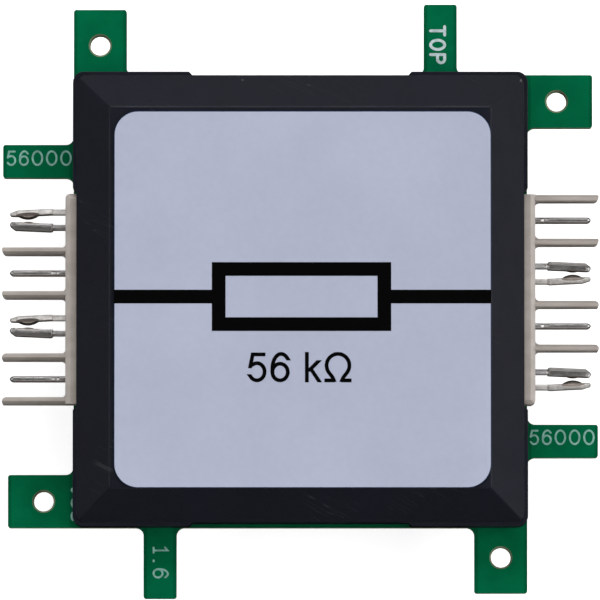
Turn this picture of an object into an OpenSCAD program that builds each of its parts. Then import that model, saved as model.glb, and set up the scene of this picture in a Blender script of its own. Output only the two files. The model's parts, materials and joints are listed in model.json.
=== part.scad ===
// Plug-together resistor module: a circuit board with edge tabs, clamped between two moulded
// casing halves, with a four-way connector on the left and on the right side.
// Frame: origin in the middle of the lower half's flat, +X right, +Y to the top edge, +Z up.

/* [Board] */
// Width of the square core of the circuit board
core_w = 34.3; // [34.3:0.1:42]
// Thickness of the circuit board
board_t = 1.6; // [1:0.1:2.4]
// Width of the wide tab, which carries the mounting hole
wide_tab_w = 4; // [3.2:0.1:5]
// Length of the wide tab beyond the core
wide_tab_l = 4.95; // [4:0.05:7]
// Width of the narrow tab
narrow_tab_w = 2.5; // [1.6:0.1:3]
// Length of the narrow tab beyond the core
narrow_tab_l = 5.35; // [4:0.05:8]
// Distance from the core's corner to the narrow tab's centre line
narrow_tab_inset = 6.55; // [6:0.05:7]
// Diameter of the mounting hole in each wide tab
tab_hole_d = 1.5; // [1:0.1:2.2]
// Width and depth of the chamfer on the mounting hole's rims
tab_hole_chamfer = 0.12; // [0.05:0.01:0.25]
// Distance from the wide tab's end to the hole's centre
tab_hole_inset = 2.7; // [1.6:0.1:3.2]
// Radius left by the router at the root of each tab
tab_root_r = 0.6; // [0.2:0.05:0.8]
// Radius of the corners at each tab's end
tab_corner_r = 0.2; // [0.1:0.05:0.6]

/* [Casing] */
// Height of upright wall left above the connector's window, up to the bevel
lintel_h = 0.25; // [0.2:0.05:1.5]
// Rise of the bevel from the upright wall to the flat
bevel_h = 2.2; // [1.8:0.1:3]
// Run of the bevel, seen from above
bevel_run = 2.53; // [2.3:0.01:3.2]
// Wall thickness
wall_t = 1.2; // [0.9:0.1:1.5]
// Depth by which the middle of each side stands back from the corner pads
recess_depth = 0.27; // [0.1:0.01:0.5]
// Length by which the recess runs past the connector's window at each end
recess_margin = 0.2; // [0:0.05:0.6]
// Length of the slanted step at each end of the recess
recess_ramp = 0.25; // [0.1:0.05:0.6]
// Corner radius of the casing
case_corner_r = 0.8; // [0.3:0.05:1.2]
// Width of the narrow faces that break the casing's edges
edge_break = 0.12; // [0.05:0.01:0.2]
// Distance of each corner boss from the edges of the board's core
boss_inset = 3.95; // [3.8:0.05:4.2]
// Diameter of the corner bosses that clamp the board
boss_d = 4.2; // [3.6:0.1:4.4]
// Diameter of the joining pegs
peg_d = 2; // [1.4:0.1:2.4]
// Length of a peg inside the opposite half's socket
peg_grip = 2.6; // [1.5:0.1:3]
// Thickness of the ribs that tie each boss to the walls
rib_t = 0.8; // [0.5:0.1:1.2]

/* [Label] */
// Bare strip of the flat round a label that sits in its middle
label_margin = 0.11; // [0.11:0.01:2]
// Thickness of the label
label_t = 0.15; // [0.1:0.05:0.4]
// Corner radius of the label
label_r = 1.8; // [0.5:0.1:3]
// Sideways offset with which the label was stuck on
label_shift = 0.17; // [0:0.01:0.17]

/* [Connector] */
// Distance between neighbouring contacts
pitch = 4; // [3.5:0.1:4.8]
// Height of the connector housing above the board
housing_h = 3.2; // [2.7:0.1:4]
// Depth of the housing from its front face to its back
housing_depth = 4.4; // [4:0.1:5.5]
// Overhang of the front face beyond the board's core
housing_overhang = 0.57; // [0.4:0.01:0.9]
// Housing beyond the last fork's centre line
fork_end = 1.95; // [1.9:0.05:2.4]
// Length of the fins beyond the front face
fin_l = 4.78; // [4:0.02:5.5]
// Thickness of a fin
fin_t = 0.52; // [0.42:0.01:0.66]
// Play between a fin and the mating connector's fin beside it
fin_play = 0.18; // [0.05:0.01:0.3]
// Radius where a fin meets the front face
fin_root_r = 0.35; // [0.1:0.05:0.5]
// Diameter of the locating pins under the housing
locator_d = 1.1; // [0.8:0.1:1.4]

/* [Contacts] */
// Thickness of a blade
blade_t = 0.42; // [0.3:0.02:0.6]
// Height of blades and tines
contact_h = 1.5; // [1.2:0.1:1.6]
// Length of blades and tines beyond the front face
contact_l = 4.2; // [3.6:0.1:4.6]
// Thickness of a tine's sheet at its neck
tine_t = 0.4; // [0.3:0.05:0.4]
// Outer half width of the fork behind the bulges
fork_half_w = 0.87; // [0.85:0.01:1]
// Width of the fork's wide tine at its shoulder
wide_tine_w = 0.62; // [0.56:0.01:0.7]
// Width of the fork's narrow tine at its shoulder
narrow_tine_w = 0.45; // [0.45:0.01:0.55]
// Gap between the two bulges of a fork
bulge_gap = 0.14; // [0.1:0.01:0.4]
// Radius of the bulge on each tine
bulge_r = 1.35; // [1:0.05:1.8]

/* [Resistor] */
// Length of the chip resistor
chip_l = 3.2; // [2:0.1:5]
// Width of the chip resistor
chip_w = 1.6; // [1.2:0.1:2.5]
// Thickness of the chip resistor
chip_t = 0.55; // [0.4:0.05:0.7]

/* [Hidden] */
$fn = 48;

// Cuts run this far past the faces that they open
past = 1;

// A fillet runs this far into the faces that it joins
fillet_overlap = 0.05;

// Running clearances between pieces that fit into each other
peg_clearance = 0.05;
board_hole_clearance = 0.4;
window_gap = 0.15;
window_clearance = 0.25;
passage_clearance = 0.04;
locator_clearance = 0.1;

// The connector is drawn for the right side, with its back towards the middle of the board
CONTACT_ROWS = [1.5 * pitch, 0.5 * pitch, -0.5 * pitch, -1.5 * pitch];
BLADE_ROWS = [CONTACT_ROWS[0], CONTACT_ROWS[2]];
FORK_ROWS = [CONTACT_ROWS[1], CONTACT_ROWS[3]];
core_half = core_w / 2;
front_x = core_half + housing_overhang;
back_x = front_x - housing_depth;
fin_offset = (pitch - fin_t - fin_play) / 2;
blade_end_y = CONTACT_ROWS[0] + fin_offset + fin_t / 2;
fork_end_y = CONTACT_ROWS[3] - fork_end;
window_half = max(blade_end_y, -fork_end_y) + window_clearance;
window_h = housing_h + window_gap;
housing_corner_r = 0.35;
front_chamfer = 0.35;
front_chamfer_h = 0.2;
locator_recess = 0.2;
locator_l = board_t - locator_recess;
locator_x = (front_x + back_x) / 2;

// A fin is lower than the housing, upright on one side and rounded off on the other
fin_drop = 0.15;
fin_h = housing_h - fin_drop;
fin_foot = 0.1;
fin_edge = 0.08;
fin_round_w = 0.22;
fin_round_h = 0.9;
fin_round_r = (fin_round_h ^ 2 + fin_round_w ^ 2) / (2 * fin_round_w);
fin_tip_r = 0.14;
fin_tip_flat = 0.05;
fin_lead_r = fin_t - fin_tip_r - fin_tip_flat;

// The board and the casing share their middle planes
wall_h = window_h + lintel_h;
case_h = wall_h + bevel_h;
board_z = case_h;
board_top = board_z + board_t;
shell_half = core_half - recess_depth;
flat_half = shell_half - bevel_run;
bevel_angle = atan(bevel_h / bevel_run);
recess_half = window_half + recess_margin;
tab_hole_reach = core_half + wide_tab_l - tab_hole_inset;
wide_tab_at = core_half - wide_tab_w / 2;
narrow_tab_at = core_half - narrow_tab_inset;
label_w = 2 * (flat_half - edge_break / 2 - label_margin);

// Bosses, pegs and sockets
boss_at = core_half - boss_inset;
boss_h = case_h - wall_t / 2;
socket_d = peg_d + peg_clearance;
socket_relief = 0.4;
socket_depth = peg_grip + socket_relief;
peg_l = board_t + peg_grip;
peg_tip = 0.35;

// Contacts run through the housing and stand on the copper behind it
contact_tip_x = front_x + contact_l;
contact_mid = housing_h / 2;
contact_low = contact_mid - contact_h / 2;
contact_high = contact_mid + contact_h / 2;
contact_set = 0.2;
edge_chamfer = 0.14;
tail_t = 0.4;
tail_gap = 0.15;
tail_w = 0.9;
tail_x = back_x - tail_gap;
foot_l = 1.1;
foot_tip_x = tail_x - foot_l;

// A blade ends in a pointed arch and has a dent in its upper edge near the housing
blade_tip_r = 0.3;
dent_reach = 0.75;
dent_x = front_x + dent_reach;
dent_depth = 0.16;
dent_half_w = 0.3;

// A tine: its width, the step from its outer face back to the neck's, the width of the flat on
// its top, the fall of the slope from there to its outer face, and its nose's length and radius
WIDE_TINE = [wide_tine_w, 0.13, 0.34, 0.12, 0.4, 0.22];
NARROW_TINE = [narrow_tine_w, 0.05, 0.12, 0.14, 0.6, 0.16];
function tine_in(tine) = fork_half_w - tine[0];
function neck_out(tine) = fork_half_w - tine[1];

// The rest of a tine's plan
neck_l = 0.95;
neck_x = front_x + neck_l;
neck_step = 0.15;
tine_closing = 0.12;
bulge_back = 1.35;
bulge_x = contact_tip_x - bulge_back;
bulge_centre_y = bulge_gap / 2 + bulge_r;
bulge_inset = 0.1;

// Copper
copper_t = 0.05;
pad_w = 1.5;
pad_margin = 0.35;
pad_in_x = foot_tip_x - pad_margin;
pad_lip = 0.05;
pad_out_x = tail_x + pad_lip;
ground_inset = 0.5;
ground_x = pad_in_x + ground_inset;
signal_inset = 0.6;
signal_x = pad_in_x + signal_inset;
track_w = 0.8;
ground_run = 3;
ground_track_y = CONTACT_ROWS[0] + ground_run;

// Solder round a contact's foot
solder_w = 1.25;
solder_toe = 0.3;
solder_climb = 0.2;
solder_slope = 0.25;

// Chip resistor
cap_l = 0.5;
cap_t = 0.05;
film_t = 0.03;
film_margin = 0.2;
overcoat_t = 0.09;
overcoat_margin = 0.05;
solder_under = 0.03;
chip_solder_l = 0.45;
chip_solder_h = 0.38;
chip_solder_waist_l = 0.11;
chip_solder_waist_h = 0.15;
land_l = 1.3;
land_margin = 0.1;
land_w = chip_w + 2 * land_margin;
land_x = chip_l / 2 - cap_l - land_margin;
chip_z = board_top + copper_t + solder_under;

// Shared shapes

module rounded_square(w, r) {
    square([w - 2 * r, w], center = true);
    square([w, w - 2 * r], center = true);
    for (sx = [-1, 1], sy = [-1, 1])
        translate([sx * (w / 2 - r), sy * (w / 2 - r)]) circle(r);
}

// Fill between a face below and a wall on the left, both meeting at the origin
module root_fillet(r) {
    difference() {
        translate([-fillet_overlap, -fillet_overlap]) square(r + fillet_overlap);
        translate([r, r]) circle(r);
    }
}

module quarter_turns() {
    for (turn = [0 : 3]) rotate([0, 0, -90 * turn]) children();
}

module on_left() {
    rotate([0, 0, 180]) children();
}

// Circuit board

// A tab on the top side, centred on x = 0 with its root at the core's edge
module tab_outline(w, l) {
    r = tab_corner_r;
    translate([-w / 2, core_half - past]) square([w, l + past - r]);
    translate([-w / 2 + r, core_half]) square([w - 2 * r, l]);
    for (side = [-1, 1])
        translate([side * (w / 2 - r), core_half + l - r]) circle(r);
}

module board_outline() {
    square(core_w, center = true);
    quarter_turns() {
        translate([-wide_tab_at, 0]) tab_outline(wide_tab_w, wide_tab_l);
        translate([-wide_tab_at + wide_tab_w / 2, core_half]) root_fillet(tab_root_r);
        translate([narrow_tab_at, 0]) tab_outline(narrow_tab_w, narrow_tab_l);
        for (side = [-1, 1])
            translate([narrow_tab_at + side * narrow_tab_w / 2, core_half])
                mirror([side < 0 ? 1 : 0, 0]) root_fillet(tab_root_r);
    }
}

module board_hole(d) {
    translate([0, 0, -past]) cylinder(d = d, h = board_t + 2 * past);
}

module tab_hole() {
    c = tab_hole_chamfer;
    board_hole(tab_hole_d);
    translate([0, 0, board_t - c]) cylinder(d1 = tab_hole_d, d2 = tab_hole_d + 4 * c, h = 2 * c);
    translate([0, 0, -c]) cylinder(d1 = tab_hole_d + 4 * c, d2 = tab_hole_d, h = 2 * c);
}

module circuit_board() {
    color("seagreen")
        translate([0, 0, board_z])
            difference() {
                linear_extrude(board_t) board_outline();
                quarter_turns() {
                    translate([-wide_tab_at, tab_hole_reach, 0]) tab_hole();
                    translate([boss_at, boss_at, 0]) board_hole(peg_d + board_hole_clearance);
                }
                for (side = [-1, 1], row = [-1, 1])
                    translate([side * locator_x, row * pitch, 0])
                        board_hole(locator_d + locator_clearance);
            }
}

// Casing: both halves are drawn with the rim at z = 0 and the flat above

// Right flank of the section across one half, set in from the outside by t, edges broken
function flank(t) =
    let (half = shell_half - t,
         knee = wall_h - t * tan((90 - bevel_angle) / 2),
         top_half = flat_half - t * tan(bevel_angle / 2),
         top = case_h - t,
         e = edge_break / 2)
    [
        [half, -past],
        [half, knee - e],
        [half - e * cos(bevel_angle), knee + e * sin(bevel_angle)],
        [top_half + e * cos(bevel_angle), top - e * sin(bevel_angle)],
        [top_half - e, top]
    ];

function closed_section(side) =
    concat(side, [for (i = [len(side) - 1 : -1 : 0]) [-side[i][0], side[i][1]]]);

// The same section from corner to corner, cut back to break the mitred edges
function corner_flank(t) = [for (p = flank(t)) [sqrt(2) * p[0] - edge_break / 2, p[1]]];

module upright_section(points) {
    rotate([90, 0, 0])
        translate([0, 0, -core_w])
            linear_extrude(2 * core_w) polygon(points);
}

module bevelled_block(t) {
    intersection() {
        upright_section(closed_section(flank(t)));
        rotate([0, 0, 90]) upright_section(closed_section(flank(t)));
        rotate([0, 0, 45]) upright_section(closed_section(corner_flank(t)));
        rotate([0, 0, -45]) upright_section(closed_section(corner_flank(t)));
    }
}

module casing_outline() {
    difference() {
        rounded_square(core_w, case_corner_r);
        quarter_turns()
            polygon([
                [-recess_half, core_half + past],
                [-recess_half, core_half],
                [-recess_half + recess_ramp, shell_half],
                [recess_half - recess_ramp, shell_half],
                [recess_half, core_half],
                [recess_half, core_half + past]
            ]);
    }
}

// Body of a half, over the outline that its upright walls follow
module shell_body() {
    difference() {
        union() {
            linear_extrude(wall_h) children();
            intersection() {
                bevelled_block(0);
                linear_extrude(case_h + past) rounded_square(2 * shell_half, case_corner_r);
            }
        }
        bevelled_block(wall_t);
    }
}

// Window for a connector in the left or right wall, open at the rim
module connector_window() {
    translate([shell_half - 2 * wall_t, -window_half, -past])
        cube([2 * wall_t + recess_depth + past, 2 * window_half, window_h + past]);
}

// Boss that clamps the board, tied to both walls by a rib
module boss() {
    reach = shell_half - wall_t / 2 - boss_at;
    intersection() {
        translate([boss_at, boss_at, 0]) cylinder(d = boss_d, h = boss_h);
        bevelled_block(wall_t / 2);
    }
    translate([boss_at, boss_at - rib_t / 2, 0]) cube([reach, rib_t, wall_h - wall_t]);
    translate([boss_at - rib_t / 2, boss_at, 0]) cube([rib_t, reach, wall_h - wall_t]);
}

module casing_half() {
    shell_body() children();
    quarter_turns() boss();
}

module peg() {
    translate([boss_at, boss_at, -peg_l + peg_tip])
        cylinder(d = peg_d, h = peg_l - peg_tip + past);
    translate([boss_at, boss_at, -peg_l])
        cylinder(d1 = peg_d - 2 * peg_tip, d2 = peg_d, h = peg_tip);
}

module upper_shell() {
    color([0.13, 0.13, 0.15])
        translate([0, 0, board_top]) {
            difference() {
                casing_half() casing_outline();
                connector_window();
                on_left() connector_window();
            }
            quarter_turns() peg();
        }
}

// The lower half has no corner pads, so the board's edge hides it from above
module lower_shell() {
    color([0.13, 0.13, 0.15])
        translate([0, 0, board_z])
            rotate([180, 0, 0])
                difference() {
                    casing_half() rounded_square(2 * shell_half, case_corner_r);
                    quarter_turns()
                        translate([boss_at, boss_at, -past])
                            cylinder(d = socket_d, h = socket_depth + past);
                }
}

module label() {
    color([0.70, 0.72, 0.80])
        translate([label_shift, -label_shift, board_top + case_h])
            linear_extrude(label_t) rounded_square(label_w, label_r);
}

// Connector housing, drawn on the board's top face at z = 0

// Section of a fin across its length
module fin_section() {
    intersection() {
        polygon([
            [-fin_t / 2, fin_foot],
            [fin_t / 2, fin_foot],
            [fin_t / 2, fin_h],
            [-fin_t / 2 + fin_edge, fin_h],
            [-fin_t / 2, fin_h - fin_edge]
        ]);
        union() {
            translate([-fin_t / 2, 0]) square([fin_t, fin_h - fin_round_h]);
            translate([fin_t / 2 - fin_round_r, fin_h - fin_round_h]) circle(fin_round_r);
        }
    }
}

// Outline from above: the larger end radius is on the side that lead_in gives, -1 or 1
module fin_outline(lead_in) {
    flush_w = fin_t - fin_tip_r - fin_lead_r;
    mirror([0, lead_in < 0 ? 1 : 0]) {
        translate([front_x - past, -fin_t / 2]) square([fin_l + past - fin_lead_r, fin_t]);
        translate([front_x, -fin_t / 2]) square([fin_l - fin_tip_r, fin_tip_r + flush_w]);
        translate([front_x, -fin_t / 2 + fin_tip_r]) square([fin_l, flush_w]);
        translate([front_x + fin_l - fin_tip_r, -fin_t / 2 + fin_tip_r]) circle(fin_tip_r);
        translate([front_x + fin_l - fin_lead_r, fin_t / 2 - fin_lead_r]) circle(fin_lead_r);
    }
}

module fin(y, lead_in) {
    translate([0, y, 0])
        intersection() {
            rotate([90, 0, 90]) linear_extrude(2 * core_w) fin_section();
            linear_extrude(housing_h) fin_outline(lead_in);
        }
}

// Fillets on the given sides of a fin, where it meets the front face
module fin_roots(y, sides) {
    for (side = sides)
        translate([front_x, y + side * fin_t / 2, fin_foot])
            linear_extrude(fin_h - fin_round_h - fin_foot)
                mirror([0, side < 0 ? 1 : 0]) root_fillet(fin_root_r);
}

module housing_outline() {
    r = housing_corner_r;
    difference() {
        translate([back_x, fork_end_y]) square([housing_depth, blade_end_y - fork_end_y]);
        translate([front_x - r, fork_end_y - r]) square(2 * r);
    }
    translate([front_x - r, fork_end_y + r]) circle(r);
}

// Section across an edge at x = end, chamfered at the top, that runs back by l
module chamfered_end(end, l) {
    polygon([
        [end - l, 0],
        [end, 0],
        [end, housing_h - front_chamfer_h],
        [end - front_chamfer, housing_h],
        [end - l, housing_h]
    ]);
}

module housing_block() {
    intersection() {
        linear_extrude(housing_h) housing_outline();
        rotate([90, 0, 0])
            translate([0, 0, -core_w])
                linear_extrude(2 * core_w) chamfered_end(front_x, housing_depth);
        rotate([90, 0, -90])
            translate([0, 0, -core_w])
                linear_extrude(2 * core_w) chamfered_end(-fork_end_y, blade_end_y - fork_end_y);
    }
}

module passage(y, half_w) {
    c = passage_clearance;
    translate([back_x - past, y - half_w - c, contact_low - c])
        cube([housing_depth + 2 * past, 2 * (half_w + c), contact_h + 2 * c]);
}

module connector_housing() {
    difference() {
        union() {
            housing_block();
            for (side = [-1, 1]) {
                fin(BLADE_ROWS[0] + side * fin_offset, -1);
                fin(BLADE_ROWS[1] + side * fin_offset, 1);
                fin_roots(BLADE_ROWS[1] + side * fin_offset, [-1, 1]);
            }
            fin_roots(BLADE_ROWS[0] + fin_offset, [-1]);
            fin_roots(BLADE_ROWS[0] - fin_offset, [-1, 1]);
        }
        for (y = BLADE_ROWS) passage(y, blade_t / 2);
        for (y = FORK_ROWS) passage(y, fork_half_w);
    }
    for (row = [-1, 1])
        translate([locator_x, row * pitch, -locator_l])
            cylinder(d = locator_d, h = locator_l + contact_low / 2);
}

module right_connector_housing() {
    color([0.72, 0.67, 0.60]) translate([0, 0, board_top]) connector_housing();
}

module left_connector_housing() {
    color([0.72, 0.67, 0.60]) translate([0, 0, board_top]) on_left() connector_housing();
}

// Contacts

// A strip seen from the side: blade or tine, then the tail down to the copper
BLADE_SIDE = [
    [foot_tip_x, copper_t],
    [tail_x, copper_t],
    [tail_x, contact_low],
    [contact_tip_x, contact_low],
    [contact_tip_x, contact_high],
    [tail_x - tail_t, contact_high],
    [tail_x - tail_t, copper_t + tail_t],
    [foot_tip_x, copper_t + tail_t]
];

module side_profile(points, t) {
    rotate([90, 0, 0])
        translate([0, 0, -t / 2]) linear_extrude(t) polygon(points);
}

// Section with its long edges broken, for blades and tines
function broken_section(low_y, high_y) = [
    [low_y + edge_chamfer, contact_low],
    [high_y - edge_chamfer, contact_low],
    [high_y, contact_low + edge_chamfer],
    [high_y, contact_high - edge_chamfer],
    [high_y - edge_chamfer, contact_high],
    [low_y + edge_chamfer, contact_high],
    [low_y, contact_high - edge_chamfer],
    [low_y, contact_low + edge_chamfer]
];

module broken_bar(low_y, high_y, from_x, to_x) {
    translate([from_x, 0, 0])
        rotate([90, 0, 90])
            linear_extrude(to_x - from_x) polygon(broken_section(low_y, high_y));
}

// A blade from above: a straight strip with a pointed arch at its end
module blade_outline() {
    arch_offset = blade_tip_r - blade_t / 2;
    arch_x = contact_tip_x - sqrt(blade_tip_r ^ 2 - arch_offset ^ 2);
    translate([foot_tip_x, -blade_t / 2]) square([arch_x - foot_tip_x, blade_t]);
    intersection() {
        translate([arch_x, arch_offset]) circle(blade_tip_r);
        translate([arch_x, -arch_offset]) circle(blade_tip_r);
    }
}

module blade() {
    difference() {
        intersection() {
            linear_extrude(housing_h) blade_outline();
            union() {
                broken_bar(-blade_t / 2, blade_t / 2, front_x, contact_tip_x);
                intersection() {
                    side_profile(BLADE_SIDE, blade_t);
                    translate([foot_tip_x - past, -blade_t, 0])
                        cube([front_x - foot_tip_x + past, 2 * blade_t, housing_h]);
                }
            }
        }
        translate([dent_x, 0, contact_high])
            side_profile([
                [-dent_half_w, past],
                [-dent_half_w, 0],
                [0, -dent_depth],
                [dent_half_w, 0],
                [dent_half_w, past]
            ], 2 * blade_t);
    }
}

// One tine from above, on the positive side of the fork's centre line
module tine_outline(tine) {
    in = tine_in(tine);
    nose_l = tine[4];
    nose_r = tine[5];
    nose_y = in - tine_closing + nose_r;
    polygon([
        [neck_x, in],
        [contact_tip_x - nose_l, in - tine_closing],
        [contact_tip_x - nose_r, nose_y - nose_r],
        [contact_tip_x - nose_r * (1 - sin(45)), nose_y + nose_r * sin(45)],
        [contact_tip_x - nose_l, fork_half_w - tine_closing],
        [neck_x + neck_step, fork_half_w],
        [neck_x, fork_half_w - neck_step / 2]
    ]);
    translate([contact_tip_x - nose_r, nose_y]) circle(nose_r);
}

// A bar with the tine's section, whose top and bottom slope away towards its outer face
module formed_bar(tine) {
    edge = tine_in(tine) + tine[2];
    fall = tine[3];
    translate([neck_x - past, 0, 0])
        rotate([90, 0, 90])
            linear_extrude(contact_l + 2 * past)
                polygon([
                    [0, contact_low],
                    [edge, contact_low],
                    [fork_half_w, contact_low + fall],
                    [fork_half_w, contact_high - fall],
                    [edge, contact_high],
                    [0, contact_high]
                ]);
}

module bulge(in) {
    intersection() {
        translate([bulge_x, bulge_centre_y, contact_mid]) sphere(bulge_r);
        translate([bulge_x - bulge_r, bulge_gap / 4, contact_low + bulge_inset])
            cube([2 * bulge_r, in, contact_h - 2 * bulge_inset]);
    }
}

module tine(tine) {
    translate([back_x + contact_set, neck_out(tine) - tine_t, contact_low])
        cube([neck_x - back_x, tine_t, contact_h]);
    intersection() {
        linear_extrude(housing_h) tine_outline(tine);
        formed_bar(tine);
    }
    bulge(tine_in(tine));
}

// A wide and a narrow tine on a strip that steps down to the foot behind the housing
module fork() {
    bridge_w = neck_out(WIDE_TINE) + neck_out(NARROW_TINE);
    tine(WIDE_TINE);
    mirror([0, 1, 0]) tine(NARROW_TINE);
    translate([back_x + contact_set, -neck_out(NARROW_TINE), contact_low])
        cube([housing_depth - 3 * contact_set, bridge_w, tail_t]);
    translate([tail_x - tail_t, -tail_w / 2, contact_low])
        cube([tail_t + tail_gap + 2 * contact_set, tail_w, tail_t]);
    translate([tail_x - tail_t, -tail_w / 2, copper_t])
        cube([tail_t, tail_w, contact_low + tail_t - copper_t]);
    translate([foot_tip_x, -tail_w / 2, copper_t]) cube([foot_l, tail_w, tail_t]);
}

module right_contact(row) {
    color([0.62, 0.62, 0.64])
        translate([0, CONTACT_ROWS[row - 1], board_top])
            if (row % 2 == 1) blade(); else fork();
}

// The left connector is the right one turned half round, so its rows count from the other end
module left_contact(row) {
    on_left() right_contact(5 - row);
}

// Copper on the board's top face, drawn on z = 0

module bar(from, to) {
    low = [min(from[0], to[0]), min(from[1], to[1])];
    size = [abs(to[0] - from[0]), abs(to[1] - from[1])];
    translate([low[0] - track_w / 2, low[1] - track_w / 2])
        square([size[0] + track_w, size[1] + track_w]);
}

module contact_pad(row) {
    translate([pad_in_x, CONTACT_ROWS[row - 1] - pad_w / 2]) square([pad_out_x - pad_in_x, pad_w]);
}

module signal_net() {
    contact_pad(2);
    contact_pad(3);
    bar([signal_x, CONTACT_ROWS[1]], [signal_x, CONTACT_ROWS[2]]);
    bar([land_x + land_l, 0], [signal_x, 0]);
    translate([land_x, -land_w / 2]) square([land_l, land_w]);
}

module ground_net() {
    for (turn = [0, 180])
        rotate([0, 0, turn]) {
            contact_pad(1);
            contact_pad(4);
            bar([ground_x, CONTACT_ROWS[0]], [ground_x, ground_track_y]);
            bar([ground_x, ground_track_y], [0, ground_track_y]);
            bar([ground_x, CONTACT_ROWS[3]], [ground_x, -ground_track_y]);
            bar([ground_x, -ground_track_y], [0, -ground_track_y]);
        }
}

module on_copper_level() {
    color([0.80, 0.55, 0.30]) translate([0, 0, board_top]) linear_extrude(copper_t) children();
}

// Solder

SOLDER_SIDE = [
    [foot_tip_x - solder_toe, copper_t],
    [tail_x, copper_t],
    [tail_x, copper_t + tail_t / 2],
    [tail_x - tail_t, copper_t + tail_t + solder_climb],
    [tail_x - 2 * tail_t, copper_t + tail_t / 2 + solder_climb],
    [foot_tip_x, copper_t + tail_t / 2]
];

// Section across the foot, sloped on both sides
SOLDER_ACROSS = [
    [-solder_w / 2, copper_t],
    [solder_w / 2, copper_t],
    [solder_w / 2 - solder_slope, copper_t + tail_t + solder_climb],
    [-solder_w / 2 + solder_slope, copper_t + tail_t + solder_climb]
];

module solder_mound() {
    intersection() {
        side_profile(SOLDER_SIDE, solder_w);
        rotate([90, 0, 90]) linear_extrude(core_w) polygon(SOLDER_ACROSS);
    }
}

module solder_joints() {
    color([0.75, 0.76, 0.78])
        translate([0, 0, board_top])
            for (row = [1 : 4])
                translate([0, CONTACT_ROWS[row - 1], 0])
                    difference() {
                        solder_mound();
                        if (row % 2 == 1) blade(); else fork();
                    }
}

// Chip resistor: the current runs from left to right

module chip_block(l, w, low, high) {
    translate([-l / 2, -w / 2, chip_z + low]) cube([l, w, high - low]);
}

module resistor_substrate() {
    color("white")
        chip_block(chip_l - 2 * cap_t, chip_w, cap_t, chip_t - overcoat_t);
}

module resistor_film() {
    color([0.25, 0.22, 0.2])
        chip_block(chip_l - 2 * cap_l, chip_w - 2 * film_margin,
                   chip_t - overcoat_t, chip_t - overcoat_t + film_t);
}

module resistor_overcoat() {
    color([0.1, 0.1, 0.1])
        difference() {
            chip_block(chip_l - 2 * (cap_l + overcoat_margin), chip_w - 2 * overcoat_margin,
                       chip_t - overcoat_t, chip_t);
            resistor_film();
        }
}

module resistor_terminal(side) {
    color([0.8, 0.8, 0.82])
        difference() {
            intersection() {
                chip_block(chip_l, chip_w, 0, chip_t - overcoat_t + cap_t);
                translate([side * (chip_l - cap_l) / 2, 0, chip_z])
                    cube([cap_l, 2 * chip_w, 4 * chip_t], center = true);
            }
            resistor_substrate();
            resistor_film();
        }
}

RESISTOR_SOLDER_SIDE = [
    [chip_l / 2 - cap_l, copper_t],
    [chip_l / 2 + chip_solder_l, copper_t],
    [chip_l / 2 + chip_solder_waist_l, copper_t + chip_solder_waist_h],
    [chip_l / 2, copper_t + chip_solder_h],
    [chip_l / 2, copper_t + solder_under],
    [chip_l / 2 - cap_l, copper_t + solder_under]
];

module resistor_solder_joints() {
    color([0.75, 0.76, 0.78])
        for (turn = [0, 180])
            rotate([0, 0, turn])
                translate([0, 0, board_top]) side_profile(RESISTOR_SOLDER_SIDE, chip_w);
}

upper_shell();
lower_shell();
label();
circuit_board();
left_connector_housing();
right_connector_housing();
left_contact(1);  // left_fork_1
left_contact(2);  // left_blade_2
left_contact(3);  // left_fork_3
left_contact(4);  // left_blade_4
right_contact(1);  // right_blade_1
right_contact(2);  // right_fork_2
right_contact(3);  // right_blade_3
right_contact(4);  // right_fork_4
on_copper_level() on_left() signal_net();  // left_signal_copper
on_copper_level() signal_net();  // right_signal_copper
on_copper_level() ground_net();  // ground_copper
on_left() solder_joints();  // left_solder_joints
solder_joints();  // right_solder_joints
resistor_solder_joints();
resistor_substrate();
resistor_film();
resistor_overcoat();
resistor_terminal(-1);  // resistor_left_terminal
resistor_terminal(1);  // resistor_right_terminal
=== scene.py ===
"""Finishes, prints and lights a plug-together resistor module, around the frame of its CAD pieces."""
import json
from math import cos, pi, radians, sin, sqrt
from typing import NamedTuple

import bmesh
import bpy
from bpy.props import FloatProperty, FloatVectorProperty, PointerProperty, StringProperty
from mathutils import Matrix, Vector
from mathutils.geometry import delaunay_2d_cdt, normal as area_normal


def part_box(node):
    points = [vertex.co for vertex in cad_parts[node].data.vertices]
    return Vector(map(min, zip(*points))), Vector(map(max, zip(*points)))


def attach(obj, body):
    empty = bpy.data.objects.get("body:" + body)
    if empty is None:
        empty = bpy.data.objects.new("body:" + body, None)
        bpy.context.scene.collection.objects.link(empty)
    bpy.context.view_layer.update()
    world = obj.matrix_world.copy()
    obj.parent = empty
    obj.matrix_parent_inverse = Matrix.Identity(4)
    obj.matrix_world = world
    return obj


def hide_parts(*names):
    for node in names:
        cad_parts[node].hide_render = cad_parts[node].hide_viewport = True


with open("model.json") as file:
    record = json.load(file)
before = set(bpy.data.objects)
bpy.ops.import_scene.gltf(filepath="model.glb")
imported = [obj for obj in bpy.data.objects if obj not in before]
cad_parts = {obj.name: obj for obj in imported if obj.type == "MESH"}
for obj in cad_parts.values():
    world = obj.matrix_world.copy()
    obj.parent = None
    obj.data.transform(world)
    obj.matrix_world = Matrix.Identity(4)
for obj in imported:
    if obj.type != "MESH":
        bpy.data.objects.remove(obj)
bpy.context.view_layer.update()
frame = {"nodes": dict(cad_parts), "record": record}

bl_info = {
    "name": "Resistor module",
    "version": (1, 0, 0),
    "blender": (4, 5, 0),
    "location": "3D View > Sidebar > Module",
    "description": "Finishes, prints and lights a plug-together resistor module",
    "category": "Object",
}

MM = 0.001
BODY = "root"

# How a mesh is finished: points closer than this are joined, and edges that turn further stay crisp
JOIN_DISTANCE = 1e-7
CRISP_ANGLE = radians(35)
ROUND_STEPS = 3

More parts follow.
